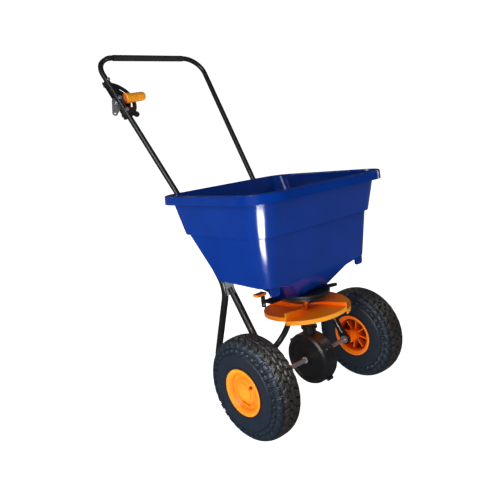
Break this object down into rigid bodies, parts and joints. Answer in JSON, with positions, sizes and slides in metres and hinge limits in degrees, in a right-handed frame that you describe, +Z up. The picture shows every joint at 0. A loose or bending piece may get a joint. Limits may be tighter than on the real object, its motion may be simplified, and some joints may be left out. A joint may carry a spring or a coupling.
{
  "type": "broadcast spreader",
  "caption": "Walk-behind broadcast spreader: two-wheeled frame with U handle, tapered hopper, gear-driven curved-vane impeller, sliding gate and a hand lever.",
  "frame": {"origin": "on the floor under the middle of the bounding box", "axes": "+Z up; -Y is the front, where the hopper is, and +Y is the side the operator pushes from; X runs across the machine, and the control lever is on the -X handle leg"},
  "size_m": [0.521, 0.8698, 0.9217],
  "materials": {
    "tyre": "matt moulded rubber",
    "orange_plastic": "glossy moulding",
    "blue_plastic": "glossy moulding",
    "black_paint": "glossy powder coat",
    "black_plastic": "satin moulding",
    "white_plastic": "plain",
    "soft_grip": "matt",
    "zinc_steel": "zinc plated",
    "gear_steel": "machined"
  },
  "bodies": {
    "chassis": {"rear_frame": "black_paint", "axle_strut_left": "black_paint", "axle_strut_right": "black_paint", "axle_bushes": "white_plastic", "hopper_brackets": "zinc_steel", "handle": "black_paint", "crossbar_sleeve": "soft_grip", "handle_bolts": "zinc_steel", "hopper": "blue_plastic", "hopper_spacers": "black_plastic", "hopper_bolts": "zinc_steel", "hopper_nuts": "zinc_steel", "base_plate": "black_plastic", "base_plate_screws": "zinc_steel", "floor_bush": "white_plastic", "gearbox_left": "black_plastic", "gearbox_right": "black_plastic", "gearbox_screws": "zinc_steel", "gearbox_bushes": "white_plastic", "neck_bush": "white_plastic", "lever_quadrant": "black_plastic", "quadrant_bolts": "zinc_steel", "lever_pivot_bolt": "zinc_steel"},
    "drive_axle": {"axle": "zinc_steel", "drive_pin": "zinc_steel", "split_pin": "zinc_steel", "wheel_washer": "zinc_steel", "axle_collars": "zinc_steel", "axle_gear": "gear_steel", "gear_pin": "zinc_steel", "tyre_left": "tyre", "rim_left": "orange_plastic", "hub_cap_left": "orange_plastic"},
    "free_wheel": {"tyre_right": "tyre", "rim_right": "orange_plastic", "hub_cap_right": "orange_plastic"},
    "spinner": {"impeller": "orange_plastic", "impeller_shaft": "zinc_steel", "impeller_pin": "zinc_steel", "agitator": "zinc_steel", "pinion": "gear_steel"},
    "gate": {"gate_plate": "black_plastic", "gate_tab": "orange_plastic"},
    "lever": {"control_lever": "zinc_steel", "lever_grip": "orange_plastic"}
  },
  "joints": [
    {"name": "axle_spin", "type": "hinge", "parent": "chassis", "child": "drive_axle", "pos_m": [0, -0.3009, 0.134], "axis": [1, 0, 0], "continuous": true},
    {"name": "free_wheel_spin", "type": "hinge", "parent": "drive_axle", "child": "free_wheel", "pos_m": [0.2185, -0.3009, 0.134], "axis": [1, 0, 0], "continuous": true},
    {"name": "impeller_spin", "type": "hinge", "parent": "chassis", "child": "spinner", "pos_m": [0, -0.27415, 0.27956], "axis": [0, 0.1807, 0.9835], "continuous": true},
    {"name": "lever_swing", "type": "hinge", "parent": "chassis", "child": "lever", "pos_m": [-0.18188, 0.32843, 0.78716], "axis": [0, 0.7395, -0.6732], "range_deg": [0, 34]},
    {"name": "gate_slide", "type": "slide", "parent": "chassis", "child": "gate", "axis": [-1, 0, 0], "range_m": [0, 0.023]}
  ],
  "couplings": [
    {"joint": "impeller_spin", "follows": "axle_spin", "ratio": -4.5},
    {"joint": "gate_slide", "follows": "lever_swing", "m_per_rad": 0.038759}
  ]
}
